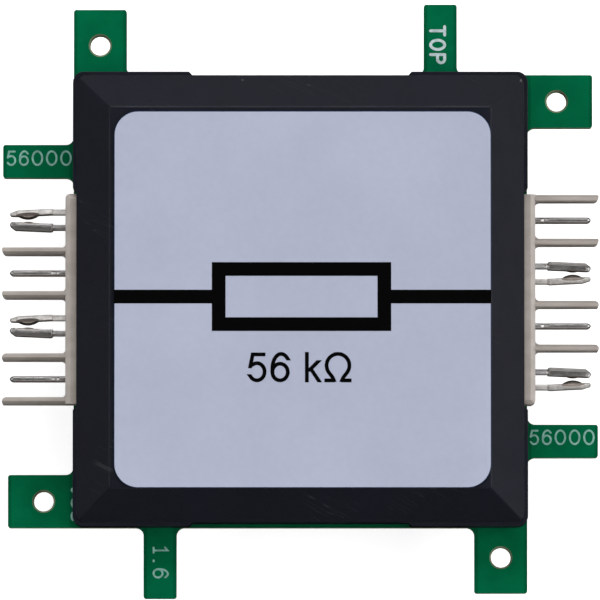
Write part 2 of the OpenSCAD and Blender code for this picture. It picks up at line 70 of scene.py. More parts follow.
# Places that the frame gives
LABEL_LOW, LABEL_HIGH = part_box("label")
BOARD_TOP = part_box("circuit_board")[1].z
CORE_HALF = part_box("upper_shell")[1].x
HOUSING_LOW, HOUSING_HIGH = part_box("right_connector_housing")

# The two tabs along each edge of the board, as the CAD source has them: middle, width and length
BOARD_TABS = [(2.0 * MM - CORE_HALF, 4.0 * MM, 4.95 * MM), (10.6 * MM, 2.5 * MM, 5.35 * MM)]
TAB_OVERLAP = 1.0 * MM

# Words of the value: text, width and place of the middle beside the label's middle
VALUE_WORDS = [("56", 3.18 * MM, -2.56 * MM), ("kΩ", 3.50 * MM, 1.93 * MM)]

# A line that rises by less than this has square ends instead of level ones
LEVEL_CUT_RISE = 0.65

# Middles of the prints on the tabs, and middle and half height of each bow at the casing's edge
LEFT_PRINT = (-19.78 * MM, 10.85 * MM)
RIGHT_PRINT = (19.78 * MM, -10.30 * MM)
TOP_PRINT = (10.40 * MM, 19.46 * MM)
BOTTOM_PRINT = (-10.55 * MM, -19.75 * MM)
COVERED_BOWS = [(-14.30 * MM, 0.12 * MM), (-15.27 * MM, 0.28 * MM), (-16.28 * MM, 0.30 * MM)]
COVERED_WIDTH = 0.14 * MM

# Shape of the contacts beyond what their settings give, with blade lowering as a share of the height
TAIL_GAP = 0.15 * MM
STRIP_EDGE = 0.05 * MM
BLADE_EDGE = 0.04 * MM
BLADE_POINT = 0.03 * MM
BLADE_LOWERING = 0.22
DENT_PLACE = 0.75 * MM
DENT_REACH = 0.32 * MM
COINED_STEP = 0.03 * MM
FORK_START = 0.2 * MM
NOSE_EDGE = 0.15 * MM
INNER_EDGE = 0.04 * MM
OUTER_EDGE = 0.07 * MM
LIP = 0.025 * MM
BULGE_HALF = 0.9 * MM
BULGE_STEPS = 12
BULGE_LEVELS = [-0.85, -0.7, -0.5, -0.25, 0.0, 0.25, 0.5, 0.7, 0.85]

# Stage sizes in metres, and each softbox's azimuth in degrees from the +Y side towards the +X side
FLOOR_HALF = 6.0
SOFTBOX_SIZE = 1.6
SOFTBOX_DISTANCE = 2.4
SOFTBOX_ELEVATION = radians(36)
SOFTBOXES = {"top": 0, "right": 90, "left": 270, "bottom": 180}


# Properties that a user would change

def colour(name, of_what, value):
    """A colour property in linear light."""
    return FloatVectorProperty(
        name=name, description=f"Colour of {of_what}", default=value, size=3, min=0.0, max=1.0,
        subtype="COLOR"
    )


def length(name, description, millimetres):
    """A length property that is given in millimetres and held in metres."""
    return FloatProperty(
        name=name, description=description, default=millimetres * MM, min=0.0, precision=5,
        subtype="DISTANCE", unit="LENGTH"
    )


def offset(name, description, x, y):
    """A place in the XY plane that is given in millimetres and held in metres."""
    return FloatVectorProperty(
        name=name, description=description, default=(x * MM, y * MM), size=2, precision=5,
        subtype="TRANSLATION", unit="LENGTH"
    )


def fraction(name, description, value):
    """A property from 0 to 1."""
    return FloatProperty(
        name=name, description=description, default=value, min=0.0, max=1.0, subtype="FACTOR"
    )


def number(name, description, value):
    """A plain positive number."""
    return FloatProperty(name=name, description=description, default=value, min=0.0)


class CasingSettings(bpy.types.PropertyGroup):
    """Finish of the two moulded casing halves"""

    plastic: colour("Plastic", "the moulded plastic", (0.0018, 0.0029, 0.0100))
    worn: colour("Worn edge", "the plastic where its edges are rubbed", (0.022, 0.023, 0.027))
    dust: colour("Dust", "the dust specks", (0.16, 0.16, 0.16))
    grain: length("Grain", "Size of the spark-eroded grain", 0.16)
    grain_depth: length("Grain depth", "Depth of the spark-eroded grain", 0.010)
    edge_radius: length("Edge radius", "Radius that breaks each moulded edge", 0.06)
    roughness: fraction("Roughness", "Roughness of the plastic between its specks", 0.50)


class LabelSettings(bpy.types.PropertyGroup):
    """The printed film on the flat of the casing"""

    film: colour("Film", "the label film", (0.476, 0.508, 0.652))
    cut_edge: colour("Cut edge", "the film's cut edge", (0.006, 0.035, 0.100))
    ink: colour("Ink", "the print", (0.0012, 0.0012, 0.0014))
    corner_radius: length("Corner radius", "Radius of the label's corners", 1.8)
    ink_height: length("Ink height", "Thickness of the printed ink", 0.010)
    edge_round: length("Edge round", "Slope along the film's cut edge", 0.05)
    line_width: length("Line width", "Width of the symbol's lines", 1.03)
    symbol_width: length("Symbol width", "Outer width of the resistor symbol's box", 13.48)
    symbol_height: length("Symbol height", "Outer height of the resistor symbol's box", 5.18)
    symbol_shift: offset("Symbol shift", "Place of the symbol beside the label's middle", -0.08, 0.20)
    value_height: length("Value height", "Height of the value's figures", 2.28)
    value_stroke: length("Value stroke", "Width of the value's strokes", 0.285)
    value_drop: length("Value drop", "Distance of the value's middle below the label's middle", 5.11)


class BoardSettings(bpy.types.PropertyGroup):
    """Finish and print of the circuit board"""

    mask: colour("Solder mask", "the solder mask over copper", (0.0, 0.143, 0.057))
    bare_mask: colour("Mask on glass", "the mask with no copper under it", (0.0, 0.105, 0.042))
    dust: colour("Dust", "the dust specks", (0.45, 0.55, 0.50))
    glass: colour("Laminate", "the routed glass laminate", (0.27, 0.31, 0.19))
    resin: colour("Resin", "the resin between the glass layers", (0.19, 0.23, 0.13))
    ink: colour("Print", "the thin white print on the board", (0.30, 0.60, 0.51))
    bold_ink: colour("Bold print", "the bold white print on the board", (0.64, 0.78, 0.80))
    pull_back: length("Pull-back", "Distance from the board's edge to the copper plane", 0.26)
    roughness: fraction("Roughness", "Roughness of the solder mask", 0.23)
    ink_height: length("Print height", "Thickness of the print on the board", 0.012)
    figure_height: length("Figure height", "Height of the figures on the side tabs", 1.18)
    stroke: length("Print stroke", "Width of the printed strokes", 0.145)
    bold_stroke: length("Bold stroke", "Width of the strokes on the top narrow tab", 0.22)
    tab_number: StringProperty(
        name="Tab number", description="Plain number on the left and right narrow tabs", default="56000"
    )
    turned_number: StringProperty(
        name="Turned number", description="Plain number on the bottom narrow tab", default="1.6"
    )


class ConnectorSettings(bpy.types.PropertyGroup):
    """Finish of the two connector housings"""

    nylon: colour("Nylon", "the moulded nylon", (0.480, 0.430, 0.395))
    shaded: colour("Shaded nylon", "the darker streaks in the nylon", (0.350, 0.305, 0.273))
    speck: colour("Speck", "the small dark specks", (0.10, 0.08, 0.06))
    grain: length("Grain", "Size of the fine grain in the nylon's skin", 0.10)
    edge_radius: length("Edge radius", "Radius that breaks each moulded edge", 0.05)
    roughness: fraction("Roughness", "Roughness of the nylon", 0.42)


class ContactSettings(bpy.types.PropertyGroup):
    """Shape and finish of the stamped contacts"""

    tin: colour("Tin", "the tin plating", (0.52, 0.51, 0.51))
    # A painted sheen: a lighter, partly diffuse copy of the tin, so the narrow tines stay bright under
    # any light.
    sheen_tin: colour("Blanked tin", "the narrow tines' rougher metal", (0.82, 0.80, 0.78))
    # Painted shade: a dark copy of the tin where shade falls between the tines, on their inner faces and
    # bulges.
    inner: colour("Inner side", "the tines' inner sides and bulges", (0.20, 0.17, 0.155))
    # Painted shade: a darker copy of the tin, so the wide tines' outer slope shows no reflection of the
    # softboxes.
    slope: colour("Outer slope", "the wide tines' outer slope", (0.26, 0.255, 0.25))
    # On steep flanks this colour is painted shade; on the smudges it is the metal's own darker patches.
    tarnish: colour("Tarnish", "the duller metal on the flanks", (0.24, 0.215, 0.195))
    fin_length: length("Fin length", "Length of the housing's fins beyond its front face", 4.78)
    height: length("Height", "Height of the blades and tines", 1.5)
    blade: length("Blade", "Thickness of a blade", 0.42)
    chamfer: length("Chamfer", "Width of the faces along a blade's edges", 0.11)
    tip_radius: length("Tip radius", "Radius of the arcs that meet at a blade's tip", 0.3)
    dent_depth: length("Dent depth", "Depth of the coined dent in a blade", 0.12)
    neck: length("Neck", "Length of a tine's neck beyond the housing's face", 0.95)
    fork_half: length("Fork half", "Distance of a tine's outer face from the fork's middle", 0.87)
    wide_tine: length("Wide tine", "Width of the wide tine at its shoulder", 0.62)
    wide_step: length("Wide step", "Step back from the wide tine's outer face to its neck", 0.13)
    narrow_tine: length("Narrow tine", "Width of the narrow tine at its shoulder", 0.45)
    narrow_step: length("Narrow step", "Step back from the narrow tine's outer face to its neck", 0.05)
    wide_nose: length("Wide nose", "Length over which the wide tine's end slopes in", 0.4)
    wide_nose_radius: length("Wide nose radius", "Radius of the wide tine's nose", 0.22)
    narrow_nose: length("Narrow nose", "Length over which the narrow tine's end slopes in", 0.6)
    narrow_nose_radius: length("Narrow nose radius", "Radius of the narrow tine's nose", 0.16)
    closing: length("Closing", "Distance by which a tine comes in towards its tip", 0.12)
    sheet: length("Sheet", "Thickness of the sheet", 0.40)
    bulge_gap: length("Bulge gap", "Gap between the two bulges of a fork", 0.14)
    bulge_radius: length("Bulge radius", "Radius of the bulge on each tine", 1.35)
    bulge_back: length("Bulge place", "Distance from a tine's tip to its bulge", 1.35)
    tail: length("Tail", "Thickness of the tail that runs down to the copper", 0.4)
    tail_width: length("Tail width", "Width of a fork's tail", 0.9)


class CircuitSettings(bpy.types.PropertyGroup):
    """Finish of the copper, the solder and the chip resistor"""

    copper: colour("Copper", "the etched copper", (0.72, 0.36, 0.20))
    tarnish: colour("Tarnish", "the copper's brown tarnish", (0.30, 0.14, 0.08))
    solder: colour("Solder", "the solder", (0.66, 0.66, 0.67))
    ceramic: colour("Ceramic", "the chip's alumina", (0.78, 0.78, 0.74))
    film: colour("Film", "the fired resistive film", (0.055, 0.045, 0.040))
    overcoat: colour("Overcoat", "the glass overcoat", (0.012, 0.012, 0.014))
    terminal: colour("Terminal", "the chip's end caps", (0.72, 0.71, 0.69))


class StageSettings(bpy.types.PropertyGroup):
    """Floor, lights and camera"""

    floor: colour("Floor", "the floor", (0.90, 0.90, 0.90))
    backdrop: colour("Backdrop", "the background behind the floor", (0.97, 0.97, 0.97))
    elevation: FloatProperty(
        name="Elevation", description="Height of the camera above the horizon", default=radians(86.9),
        subtype="ANGLE", unit="ROTATION"
    )
    distance: length("Distance", "Distance of the camera from the board's top face", 900)
    frame_width: length("Frame width", "Width that the camera sees at the board's top face", 45.39)
    aim: offset("Aim", "Point on the board's top face that the camera looks at", -0.025, 0.094)
    glow: colour("Glow", "the light that the lit table sends up to the camera", (0.72, 0.72, 0.72))
    top_power: number("Top power", "Power of the softbox on the +Y side, in watts", 30.2)
    right_power: number("Right power", "Power of the softbox on the +X side, in watts", 28.2)
    left_power: number("Left power", "Power of the softbox on the -X side, in watts", 16.7)
    bottom_power: number("Bottom power", "Power of the softbox on the -Y side, in watts", 8.8)
    sky: number("Sky", "Strength of the light from all round", 0.5)


# Shader nodes

def is_socket(value):
    """Whether a value comes from another node."""
    return isinstance(value, bpy.types.NodeSocket)


def add(kind, inputs, tree=None, **settings):
    """A new node. An input that is a socket is linked, and gives the tree, and any other is set."""
    tree = tree or next(filter(is_socket, inputs.values())).id_data
    made = tree.nodes.new(kind)
    for name, value in settings.items():
        setattr(made, name, value)
    for key, value in inputs.items():
        if is_socket(value):
            tree.links.new(value, made.inputs[key])
        else:
            made.inputs[key].default_value = value
    return made


def rgba(value):
    """A colour's three numbers as a colour socket takes them. A socket stays as it is."""
    return value if is_socket(value) else (*value, 1.0)


def spaced(named):
    """Keywords as socket names, with a space for each underscore."""
    return {key.replace("_", " "): value for key, value in named.items()}


def calc(operation, a, b=0.0, clamp=False):
    """The result of a Math node."""
    return add("ShaderNodeMath", {0: a, 1: b}, operation=operation, use_clamp=clamp).outputs[0]


def plus(a, b):
    """The sum of two values."""
    return calc("ADD", a, b)


def times(a, b):
    """The product of two values."""
    return calc("MULTIPLY", a, b)


def vector_calc(operation, a, b=(0.0, 0.0, 0.0)):
    """The outputs of a Vector Math node."""
    return add("ShaderNodeVectorMath", {0: a, 1: b}, operation=operation).outputs


def ramp(value, start, end, low=0.0, high=1.0):
    """A smooth change from low at start to high at end."""
    inputs = {"Value": value, "From Min": start, "From Max": end, "To Min": low, "To Max": high}
    return add("ShaderNodeMapRange", inputs, interpolation_type="SMOOTHSTEP").outputs[0]


def mix(mask, a, b, mode="MIX"):
    """Colour a where the mask is 0, and colour b where it is 1."""
    inputs = {0: mask, 6: rgba(a), 7: rgba(b)}
    return add("ShaderNodeMix", inputs, data_type="RGBA", blend_type=mode).outputs[2]


def tinted(base, tone):
    """A colour made lighter or darker by a tone."""
    return mix(1.0, base, tone, "MULTIPLY")


def noise(vector, scale, detail=2.0, roughness=0.5):
    """The value of a Noise Texture."""
    inputs = {"Vector": vector, "Scale": scale, "Detail": detail, "Roughness": roughness}
    return add("ShaderNodeTexNoise", inputs).outputs["Fac"]


def open_group(name, **inputs):
    """What a new node group reads: a vector and the given inputs, by name."""
    tree = bpy.data.node_groups.new(name, "ShaderNodeTree")
    for title, default in {"Vector": (0.0, 0.0, 0.0), **spaced(inputs)}.items():
        kind = "NodeSocketFloat" if isinstance(default, float) else "NodeSocketVector"
        tree.interface.new_socket(title, in_out="INPUT", socket_type=kind).default_value = default
    return tree.nodes.new("NodeGroupInput").outputs


def close_group(**values):
    """The group that the values are in, with an output for each of them."""
    tree = next(iter(values.values())).id_data
    for title, value in values.items():
        kind = "NodeSocketVector" if value.type == "VECTOR" else "NodeSocketFloat"
        tree.interface.new_socket(title, in_out="OUTPUT", socket_type=kind)
    add("NodeGroupOutput", values)
    return tree


def grain_group(name):
    """Fine moulded or blasted grain: pits of about one size with a softer unevenness."""
    given = open_group(name, Size=0.2 * MM)
    scale = calc("DIVIDE", 1.0, given["Size"])
    pits = add("ShaderNodeTexVoronoi", {"Vector": given["Vector"], "Scale": scale}).outputs["Distance"]
    return close_group(Height=plus(noise(given["Vector"], scale), times(pits, 0.45)))


def mottle_group(name):
    """Slow change between a low and a high value."""
    given = open_group(name, Size=5 * MM, Low=0.0, High=1.0)
    cloud = noise(given["Vector"], calc("DIVIDE", 1.0, given["Size"]), 4.0, 0.55)
    return close_group(Value=ramp(cloud, 0.32, 0.68, given["Low"], given["High"]))


def specks_group(name):
    """Sparse round specks of dust, each with its own size."""
    given = open_group(name, Spacing=1 * MM, Share=0.2, Radius=0.05 * MM)
    scale = calc("DIVIDE", 1.0, given["Spacing"])
    cells = add("ShaderNodeTexVoronoi", {"Vector": given["Vector"], "Scale": scale}).outputs
    chance = add("ShaderNodeSeparateColor", {"Color": cells["Color"]}).outputs
    kept = calc("LESS_THAN", chance["Red"], given["Share"])
    reach = times(times(given["Radius"], scale), chance["Green"])
    spot = ramp(cells["Distance"], times(reach, 0.4), reach, 1.0, 0.0)
    return close_group(Mask=times(spot, kept))


def scratches_group(name):
    """Short hairline scratches that run along one direction in the XY plane."""
    given = open_group(name, Length=3 * MM, Angle=0.0)
    inputs = {"Vector": given["Vector"], "Angle": given["Angle"]}
    turned = add("ShaderNodeVectorRotate", inputs, rotation_type="Z_AXIS").outputs[0]
    stretched = vector_calc("MULTIPLY", turned, (1.0, 14.0, 1.0))["Vector"]
    scale = calc("DIVIDE", 1.0, given["Length"])
    off_line = calc("ABSOLUTE", calc("SUBTRACT", noise(stretched, scale, 1.0), 0.5))
    line = ramp(off_line, 0.002, 0.012, 1.0, 0.0)
    gate = ramp(noise(given["Vector"], scale), 0.56, 0.64)
    return close_group(Mask=times(line, gate))


def edge_group(name):
    """Rounded normals along each edge, and a mask where the edge is rubbed."""
    given = open_group(name, Radius=0.05 * MM)
    soft = add("ShaderNodeBevel", {"Radius": given["Radius"]}, samples=6).outputs[0]
    flat = add("ShaderNodeNewGeometry", {}, soft.id_data).outputs["Normal"]
    turned = ramp(vector_calc("DOT_PRODUCT", soft, flat)["Value"], 0.90, 0.995, 1.0, 0.0)
    rubbed = ramp(noise(given["Vector"], 1 / (0.9 * MM), 3.0), 0.35, 0.62)
    return close_group(Normal=soft, Wear=times(turned, rubbed))


def laminate_group(name):
    """Glass layers in a routed edge: thin level stripes that the fibres break up."""
    given = open_group(name, Layer=0.2 * MM)
    height = add("ShaderNodeSeparateXYZ", {0: given["Vector"]}).outputs["Z"]
    stretched = vector_calc("MULTIPLY", given["Vector"], (1.0, 1.0, 8.0))["Vector"]
    fibres = noise(stretched, 1 / (0.25 * MM), 4.0)
    turns = times(calc("DIVIDE", height, given["Layer"]), 2 * pi)
    wave = calc("SINE", plus(turns, times(fibres, 3.0)))
    stripe = add("ShaderNodeMath", {0: wave, 1: 0.5, 2: 0.5}, operation="MULTIPLY_ADD").outputs[0]
    return close_group(Stripe=stripe, Fibre=fibres)


def area_group(name):
    """A soft-edged rectangle in the XY plane."""
    given = open_group(name, Middle=(0.0, 0.0, 0.0), Half_size=(1.0, 1.0, 0.0), Softness=0.05 * MM)
    shifted = vector_calc("SUBTRACT", given["Vector"], given["Middle"])["Vector"]
    folded = vector_calc("ABSOLUTE", shifted)["Vector"]
    beyond = vector_calc("SUBTRACT", folded, given["Half size"])["Vector"]
    sides = add("ShaderNodeSeparateXYZ", {0: beyond}).outputs
    worst = calc("MAXIMUM", sides["X"], sides["Y"])
    inward = times(given["Softness"], -1.0)
    return close_group(Mask=ramp(worst, inward, given["Softness"], 1.0, 0.0))


GROUP_MAKERS = {
    "Fine grain": grain_group,
    "Mottle": mottle_group,
    "Dust specks": specks_group,
    "Hairline scratches": scratches_group,
    "Broken edges": edge_group,
    "Glass laminate": laminate_group,
    "Rectangle": area_group,
}


class Finish:
    """A material with a Principled shader, whose effects read the object's own coordinates."""

    def __init__(self, name, **constants):
        self.material = bpy.data.materials.new(name)
        self.material.use_nodes = True
        self.tree = self.material.node_tree
        self.tree.nodes.clear()
        self.shader = add("ShaderNodeBsdfPrincipled", spaced(constants), self.tree)
        add("ShaderNodeOutputMaterial", {"Surface": self.shader.outputs[0]})
        self.place = self.tree.nodes.new("ShaderNodeTexCoord").outputs["Object"]

    def drive(self, socket, value):
        """Links a value, colour or normal to one of the shader's sockets."""
        self.tree.links.new(value, self.shader.inputs[socket])

    def effect(self, name, **inputs):
        """The outputs of a shared effect, which is built the first time it is used."""
        group = bpy.data.node_groups.get(name) or GROUP_MAKERS[name](name)
        sockets = spaced({"Vector": self.place, **inputs})
        return add("ShaderNodeGroup", sockets, node_tree=group).outputs

    def mottle(self, size, low, high, stretch=None):
        """A slow change between two values, in patches that can be stretched."""
        vector = self.place
        if stretch:
            vector = vector_calc("MULTIPLY", vector, stretch)["Vector"]
        return self.effect("Mottle", Vector=vector, Size=size, Low=low, High=high)["Value"]

    def specks(self, spacing, share, radius):
        """A mask of dust specks, up to the given radius, in a share of the places."""
        return self.effect("Dust specks", Spacing=spacing, Share=share, Radius=radius)["Mask"]

    def grain(self, size):
        """The height of a fine grain."""
        return self.effect("Fine grain", Size=size)["Height"]

    def facing(self, start, end):
        """1 on level faces and 0 on upright ones, with a soft change between the two slopes."""
        normal = self.tree.nodes.new("ShaderNodeNewGeometry").outputs["Normal"]
        rise = add("ShaderNodeSeparateXYZ", {0: normal}).outputs["Z"]
        return ramp(calc("ABSOLUTE", rise), start, end)

    def finished(self, base, roughness, height, depth, **normal):
        """The material in its colour and roughness, bumped over a Normal if one is given."""
        self.drive("Base Color", base)
        self.drive("Roughness", roughness)
        inputs = {"Height": height, "Distance": depth, **normal}
        self.drive("Normal", add("ShaderNodeBump", inputs).outputs[0])
        return self.material


# Materials

def casing_plastic(settings):
    """Black plastic with a spark-eroded grain, rubbed edges, dust and hairline scratches."""
    made = Finish("Casing plastic", Roughness=settings.roughness, Specular_IOR_Level=0.27)
    edges = made.effect("Broken edges", Radius=settings.edge_radius)
    mottled = tinted(settings.plastic, made.mottle(size=6 * MM, low=0.82, high=1.22))
    rubbed = mix(times(edges["Wear"], 0.55), mottled, settings.worn)
    specks = made.specks(spacing=1.5 * MM, share=0.10, radius=0.16 * MM)
    lint = made.specks(spacing=0.5 * MM, share=0.16, radius=0.05 * MM)
    dusty = times(calc("MAXIMUM", specks, times(lint, 0.4)), 0.5)
    scratches = made.effect("Hairline scratches", Length=7 * MM, Angle=radians(28))["Mask"]
    patches = plus(made.mottle(size=2.2 * MM, low=-0.05, high=0.06), settings.roughness)
    return made.finished(
        base=mix(calc("MAXIMUM", dusty, times(scratches, 0.12)), rubbed, settings.dust),
        roughness=plus(patches, times(edges["Wear"], -0.10)),
        height=made.grain(settings.grain), depth=settings.grain_depth, Normal=edges["Normal"],
    )


def label_film(settings):
    """Matt lavender-grey film with a soft unevenness, and a dark blue cut edge."""
    made = Finish("Label film", Roughness=0.55)
    cloud = made.mottle(size=9 * MM, low=0.965, high=1.025)
    fine = made.mottle(size=0.5 * MM, low=0.985, high=1.015)
    mottled = tinted(settings.film, times(cloud, fine))
    return made.finished(
        base=mix(made.facing(0.75, 0.97), settings.cut_edge, mottled),
        roughness=made.mottle(size=3 * MM, low=0.50, high=0.60),
        height=made.grain(0.12 * MM), depth=0.002 * MM,
    )


def copper_planes(made, pull_back):
    """A mask of the copper plane under the solder mask: the core and the eight tabs, set in."""
    mask = None
    for middle, half in board_areas():
        reach = (half[0] - pull_back, half[1] - pull_back, 0.0)
        area = made.effect("Rectangle", Middle=(*middle, 0.0), Half_size=reach)["Mask"]
        mask = area if mask is None else calc("MAXIMUM", mask, area)
    return mask


def solder_mask(settings):
    """Glossy green solder mask over copper and glass, with routed glass laminate at the edges."""
    made = Finish("Solder mask", Roughness=settings.roughness, Specular_IOR_Level=0.1)
    planes = copper_planes(made, settings.pull_back)
    green = mix(planes, settings.bare_mask, settings.mask)
    mottled = tinted(green, made.mottle(size=2.5 * MM, low=0.90, high=1.08))
    specks = made.specks(spacing=1.3 * MM, share=0.08, radius=0.12 * MM)
    dusty = mix(times(specks, 0.25), mottled, settings.dust)
    layers = made.effect("Glass laminate", Layer=0.2 * MM)
    glass = mix(layers["Stripe"], settings.resin, settings.glass)
    fibrous = mix(0.35, glass, layers["Fibre"], "MULTIPLY")
    level = made.facing(0.75, 0.97)
    smooth = plus(made.mottle(size=1.5 * MM, low=-0.04, high=0.05), settings.roughness)
    waves = made.mottle(size=0.8 * MM, low=0.0, high=0.25)
    return made.finished(
        base=mix(level, fibrous, dusty),
        roughness=ramp(level, 0.0, 1.0, 0.75, smooth),
        height=plus(times(planes, 0.6), waves), depth=0.02 * MM,
    )


def moulded_nylon(settings):
    """Beige nylon with flow streaks, a fine grain and softened edges."""
    made = Finish("Moulded nylon", Roughness=settings.roughness)
    streaks = made.mottle(size=0.9 * MM, low=0.0, high=0.55, stretch=(0.35, 1.0, 1.0))
    streaked = mix(streaks, settings.nylon, settings.shaded)
    specks = made.specks(spacing=0.6 * MM, share=0.10, radius=0.05 * MM)
    edges = made.effect("Broken edges", Radius=settings.edge_radius)
    return made.finished(
        base=mix(times(specks, 0.35), streaked, settings.speck),
        roughness=plus(made.mottle(size=0.7 * MM, low=-0.07, high=0.08), settings.roughness),
        height=made.grain(settings.grain), depth=0.004 * MM, Normal=edges["Normal"],
    )


def tin_plating(name, metal, tarnish, roughness, metallic=1.0):
    """Dull tin on rolled sheet: long rolling lines, smudges, and flanks darkened towards the tarnish
    colour as painted shade.
    """
    made = Finish(name, Metallic=metallic, Roughness=roughness)
    # Steep faces are darkened by their slope towards the tarnish colour: painted shade, on top of the
    # smudges' real darker patches.
    flank_shade = calc("SUBTRACT", 1.0, made.facing(0.35, 0.95))
    smudge = made.mottle(size=0.45 * MM, low=0.0, high=0.75)
    dull_and_shaded = calc("ADD", times(flank_shade, 0.75), times(smudge, 0.5), clamp=True)
    rolling = made.mottle(size=0.05 * MM, low=0.0, high=0.6, stretch=(0.06, 1.0, 1.0))
    return made.finished(
        base=mix(dull_and_shaded, metal, tarnish),
        roughness=plus(made.mottle(size=0.3 * MM, low=-0.06, high=0.08), roughness),
        height=plus(rolling, times(made.grain(0.07 * MM), 0.4)), depth=0.006 * MM,
    )


def etched_copper(settings):
    """Etched copper with a faint brown tarnish."""
    made = Finish("Etched copper", Metallic=1.0, Roughness=0.35)
    brown = made.mottle(size=1.5 * MM, low=0.0, high=0.5)
    return made.finished(
        base=mix(brown, settings.copper, settings.tarnish),
        roughness=made.mottle(size=0.6 * MM, low=0.28, high=0.45),
        height=made.grain(0.05 * MM), depth=0.003 * MM,
    )


def even_finish(name, tint, tone, gloss, grain, depth, **constants):
    """One colour over a fine grain. Its tone and gloss change in patches (size, low, high)."""
    made = Finish(name, **constants)
    mottled = tinted(tint, made.mottle(*tone))
    return made.finished(mottled, made.mottle(*gloss), made.grain(grain), depth)


def printed_ink(name, ink, roughness, wear):
    """Printed ink, darker in patches by up to the given wear."""
    gloss = (1.2 * MM, roughness - 0.06, roughness + 0.06)
    return even_finish(name, ink, (0.35 * MM, 1.0 - wear, 1.0), gloss, 0.09 * MM, 0.002 * MM,
                       Roughness=roughness, Specular_IOR_Level=0.03)


def bright_metal(name, metal, size, low, high):
    """Reflowed or plated metal whose gloss changes in patches of the given size."""
    return even_finish(name, metal, (size, 0.80, 1.05), (size / 2, low, high), size / 5, 0.004 * MM,
                       Metallic=1.0, Roughness=low)


def fired_layer(name, tint, roughness, grain):
    """A fired ceramic or glass layer of the chip resistor, with a fine grain."""
    gloss = (0.2 * MM, roughness - 0.05, roughness + 0.05)
    return even_finish(name, tint, (0.3 * MM, 0.86, 1.06), gloss, grain, 0.004 * MM, Roughness=roughness)


# Meshes

def placed(name, data):
    """A new object in the scene, with the given mesh, light or camera."""
    made = bpy.data.objects.new(name, data)
    bpy.context.scene.collection.objects.link(made)
    return made


def new_piece(name, bm, materials, replaced=()):
    """A piece of the module from a bmesh, smooth apart from its crisp edges."""
    bmesh.ops.remove_doubles(bm, verts=bm.verts, dist=JOIN_DISTANCE)
    bmesh.ops.recalc_face_normals(bm, faces=bm.faces)
    for face in bm.faces:
        face.smooth = True
    for edge in bm.edges:
        edge.smooth = edge.is_manifold and edge.calc_face_angle(0.0) < CRISP_ANGLE
    mesh = bpy.data.meshes.new(name)
    bm.to_mesh(mesh)
    bm.free()
    for material in materials:
        mesh.materials.append(material)
    piece = placed(name, mesh)
    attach(piece, BODY)
    if replaced:
        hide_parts(*replaced)


def skin(bm, rings):
    """A closed skin through rings of as many points each, with a cap at both ends."""
    loops = [[bm.verts.new(point) for point in ring] for ring in rings]
    for near, far in zip(loops, loops[1:]):
        for i, j in zip(range(len(near)), [*range(1, len(near)), 0]):
            bm.faces.new((near[i], near[j], far[j], far[i]))
    bm.faces.new(loops[0][::-1])
    bm.faces.new(loops[-1])


def rounded(corners):
    """An outline through corners (across, up, radius), each with its own rounding."""
    outline = []
    for i, (across, up, radius) in enumerate(corners):
        corner = Vector((across, up))
        if radius == 0:
            outline.append(corner)
            continue
        before = (Vector(corners[i - 1][:2]) - corner).normalized() * radius
        after = (Vector(corners[(i + 1) % len(corners)][:2]) - corner).normalized() * radius
        for step in range(ROUND_STEPS + 1):
            t = step / ROUND_STEPS
            outline.append(corner + before * (1 - t) ** 2 + after * t ** 2)
    return outline


def bow(middle_x, middle_y, radius_x, radius_y, start, end, steps=16):
    """Points along part of an ellipse, between two angles in degrees."""
    angles = [radians(start + (end - start) * i / steps) for i in range(steps + 1)]
    return [(middle_x + radius_x * cos(a), middle_y + radius_y * sin(a)) for a in angles]


def rounded_rectangle(low, high, radius):
    """Points of a rectangle with arcs at its corners, anticlockwise."""
    right, left = high.x - radius, low.x + radius
    upper, lower = high.y - radius, low.y + radius
    points = []
    for x, y, start in ((right, upper, 0), (left, upper, 90), (left, lower, 180), (right, lower, 270)):
        points += bow(x, y, radius, radius, start, start + 90, 12)
    return points


# Print

def cut_end(end, way, width):
    """The left and right corner of a line's end: a level cut, or a square one if the line lies flat."""
    side = Vector((-way.y, way.x)) * width / 2
    if abs(way.y) < LEVEL_CUT_RISE:
        return end + way * width / 2 + side, end + way * width / 2 - side
    reach = width / 2 / abs(way.y)
    slide = side.y / way.y
    return end + side + way * (reach - slide), end - side + way * (reach + slide)


def stroke_outline(points, width, round_ends=True):
    """The outline of a line of the given width, which runs half its width past both end points."""
    line = [Vector(p) for p in points]
    left, right = [], []
    for i, point in enumerate(line):
        back = (point - line[i - 1]).normalized() if i > 0 else None
        on = (line[i + 1] - point).normalized() if i < len(line) - 1 else None
        way = ((back or on) + (on or back)).normalized()
        side = Vector((-way.y, way.x))
        stretch = 1.0 if back is None or on is None else 1.0 / max(0.5, way.dot(on))
        left.append(point + side * width / 2 * stretch)
        right.append(point - side * width / 2 * stretch)
    if not round_ends:
        right[0], left[0] = cut_end(line[0], (line[0] - line[1]).normalized(), width)
        left[-1], right[-1] = cut_end(line[-1], (line[-1] - line[-2]).normalized(), width)
        return [*left, *reversed(right)]

    def cap(middle, start):
        arm = start - middle
        turns = [radians(-180 * i / 8) for i in range(1, 8)]
        return [middle + Vector((arm.x * cos(a) - arm.y * sin(a), arm.x * sin(a) + arm.y * cos(a)))
                for a in turns]

    return [*left, *cap(line[-1], left[-1]), *reversed(right), *cap(line[0], right[0])]


